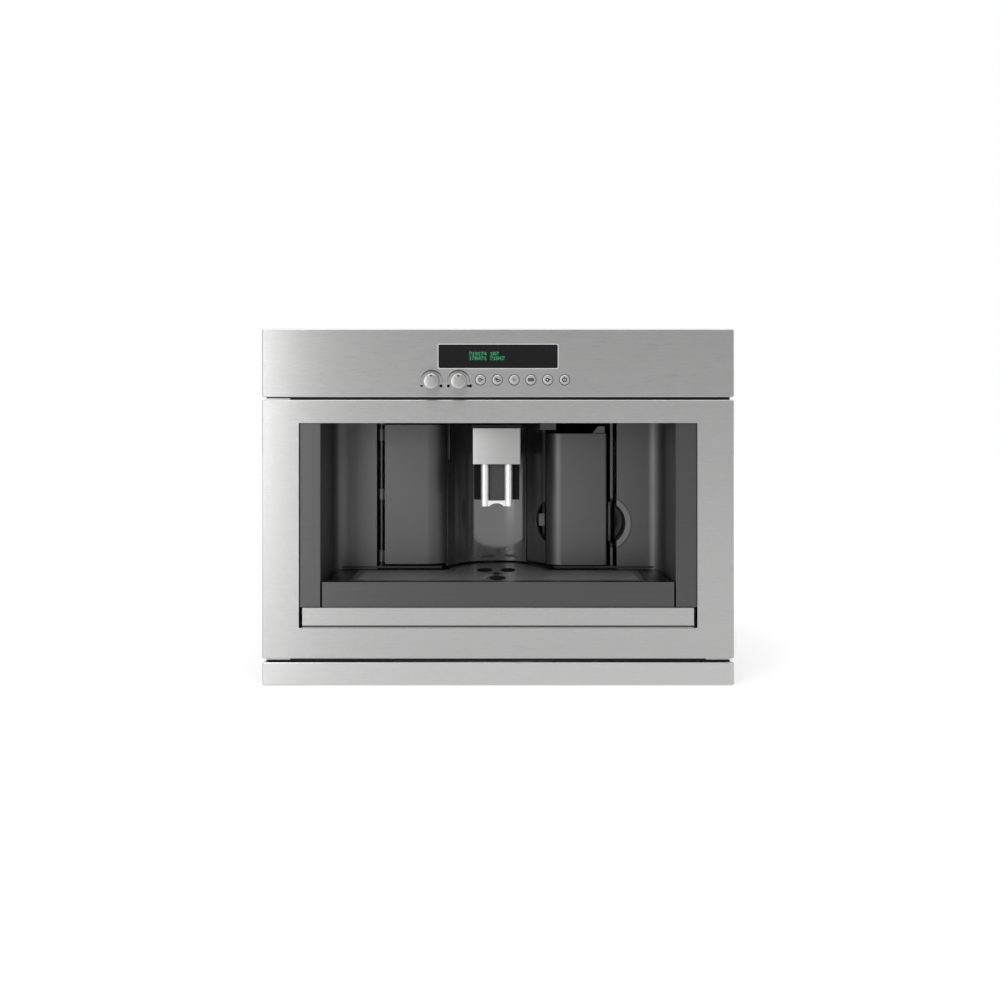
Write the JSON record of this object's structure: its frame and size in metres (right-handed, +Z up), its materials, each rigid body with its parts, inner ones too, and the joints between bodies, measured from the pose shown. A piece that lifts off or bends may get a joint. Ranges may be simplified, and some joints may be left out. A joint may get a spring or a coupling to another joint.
{
  "type": "built-in coffee machine",
  "caption": "Built-in bean-to-cup coffee machine with a stainless front, a dark niche with spout, drip tray and water tank, and pull-out rails.",
  "frame": {"origin": "under the middle of the whole machine, at the height of the lower edge of the stainless front", "axes": "+X to the right seen from the front, +Y back into the cabinet, +Z up"},
  "size_m": [0.595, 0.4085, 0.449],
  "materials": {
    "stainless": "horizontally brushed stainless steel sheet",
    "polished": "polished chrome",
    "galvanised": "plain galvanised steel sheet",
    "anthracite": "satin anthracite lacquer on a moulding",
    "satin_black": "satin black moulding",
    "gloss_black": "gloss black moulding",
    "dark_grey": "semi-gloss dark grey lacquer",
    "smoke": "clear smoke-grey moulding",
    "circuit": "green circuit board",
    "aluminium": "plain cast aluminium",
    "button_silver": "satin silver caps"
  },
  "bodies": {
    "outer_rails": {"rail_outer_left": "galvanised", "rail_outer_right": "galvanised"},
    "middle_rails": {"rail_middle_left": "galvanised", "rail_middle_right": "galvanised"},
    "machine": {"rail_inner_left": "galvanised", "rail_inner_right": "galvanised", "control_fascia": "stainless", "front_frame": "stainless", "lower_fascia": "stainless", "front_carrier": "satin_black", "display_window": "gloss_black", "display_module": "smoke", "control_board": "circuit", "niche_bezel_left": "anthracite", "niche_bezel_right": "anthracite", "niche_liner": "dark_grey", "bay_wall": "gloss_black", "niche_lamp": "dark_grey", "door_hinge_pin": "galvanised", "chamber_deck": "satin_black", "tray_shelf": "galvanised", "side_panel_left": "galvanised", "side_panel_right": "galvanised", "base_plate": "galvanised", "rear_panel": "galvanised", "top_panel": "galvanised", "bean_hopper": "smoke", "grinder": "satin_black", "grounds_chute": "satin_black", "infuser": "satin_black", "grounds_container": "satin_black", "boiler": "aluminium", "pump": "satin_black", "power_board": "circuit", "mains_inlet": "satin_black", "switch_housing": "satin_black"},
    "service_door": {"service_door": "dark_grey", "spout_cover": "stainless", "spout_bracket": "satin_black"},
    "spout_carriage": {"spout_carriage": "satin_black", "spout_nozzles": "polished"},
    "water_tank": {"water_tank": "smoke", "tank_front": "dark_grey", "tank_lid": "dark_grey"},
    "drip_tray": {"drip_tray": "anthracite", "tray_strip": "stainless"},
    "drip_grid": {"drip_grid": "stainless"},
    "quantity_knob": {"quantity_knob": "stainless"},
    "strength_knob": {"strength_knob": "stainless"},
    "button_1": {"button_1": "button_silver"},
    "button_2": {"button_2": "button_silver"},
    "button_3": {"button_3": "button_silver"},
    "button_4": {"button_4": "button_silver"},
    "button_5": {"button_5": "button_silver"},
    "button_6": {"button_6": "button_silver"},
    "bean_lid": {"bean_lid": "satin_black"},
    "chute_lid": {"chute_lid": "satin_black"},
    "grind_knob": {"grind_knob": "satin_black"},
    "mains_switch": {"mains_switch": "satin_black"}
  },
  "joints": [
    {"name": "machine_slide", "type": "slide", "parent": "outer_rails", "child": "machine", "axis": [0, -1, 0], "range_m": [0, 0.35]},
    {"name": "middle_slide", "type": "slide", "parent": "outer_rails", "child": "middle_rails", "axis": [0, -1, 0], "range_m": [0, 0.175]},
    {"name": "door_hinge", "type": "hinge", "parent": "machine", "child": "service_door", "pos_m": [-0.16, -0.07235, 0.235], "axis": [0, 0, 1], "range_deg": [-90, 0]},
    {"name": "spout_slide", "type": "slide", "parent": "service_door", "child": "spout_carriage", "axis": [0, 0, 1], "range_m": [0, 0.03]},
    {"name": "tank_slide", "type": "slide", "parent": "machine", "child": "water_tank", "axis": [0, 1, 0], "range_m": [-0.272, 0]},
    {"name": "tray_slide", "type": "slide", "parent": "machine", "child": "drip_tray", "axis": [0, -1, 0], "range_m": [0, 0.192]},
    {"name": "grid_lift", "type": "slide", "parent": "drip_tray", "child": "drip_grid", "axis": [0, 0, 1], "range_m": [0, 0.06]},
    {"name": "quantity_turn", "type": "hinge", "parent": "machine", "child": "quantity_knob", "pos_m": [-0.0837, -0.2, 0.38267], "axis": [0, 1, 0], "range_deg": [-135, 135]},
    {"name": "strength_turn", "type": "hinge", "parent": "machine", "child": "strength_knob", "pos_m": [-0.0497, -0.2, 0.38267], "axis": [0, 1, 0], "range_deg": [-135, 135]},
    {"name": "press_1", "type": "slide", "parent": "machine", "child": "button_1", "axis": [0, 1, 0], "range_m": [0, 0.0012], "stiffness_N_per_m": 700},
    {"name": "press_2", "type": "slide", "parent": "machine", "child": "button_2", "axis": [0, 1, 0], "range_m": [0, 0.0012], "stiffness_N_per_m": 700},
    {"name": "press_3", "type": "slide", "parent": "machine", "child": "button_3", "axis": [0, 1, 0], "range_m": [0, 0.0012], "stiffness_N_per_m": 700},
    {"name": "press_4", "type": "slide", "parent": "machine", "child": "button_4", "axis": [0, 1, 0], "range_m": [0, 0.0012], "stiffness_N_per_m": 700},
    {"name": "press_5", "type": "slide", "parent": "machine", "child": "button_5", "axis": [0, 1, 0], "range_m": [0, 0.0012], "stiffness_N_per_m": 700},
    {"name": "press_6", "type": "slide", "parent": "machine", "child": "button_6", "axis": [0, 1, 0], "range_m": [0, 0.0012], "stiffness_N_per_m": 700},
    {"name": "bean_lid_hinge", "type": "hinge", "parent": "machine", "child": "bean_lid", "pos_m": [0.07, 0.15315, 0.4346], "axis": [-1, 0, 0], "range_deg": [0, 100]},
    {"name": "chute_lid_hinge", "type": "hinge", "parent": "machine", "child": "chute_lid", "pos_m": [-0.048, 0.10315, 0.4346], "axis": [-1, 0, 0], "range_deg": [0, 100]},
    {"name": "grind_turn", "type": "hinge", "parent": "machine", "child": "grind_knob", "pos_m": [0.182, 0.12715, 0.435], "axis": [0, 0, 1], "range_deg": [-75, 75]},
    {"name": "switch_rock", "type": "hinge", "parent": "machine", "child": "mains_switch", "pos_m": [-0.16, 0.19715, 0.066], "axis": [-1, 0, 0], "range_deg": [0, 14]}
  ],
  "couplings": [
    {"joint": "middle_slide", "follows": "machine_slide", "ratio": 0.5}
  ]
}
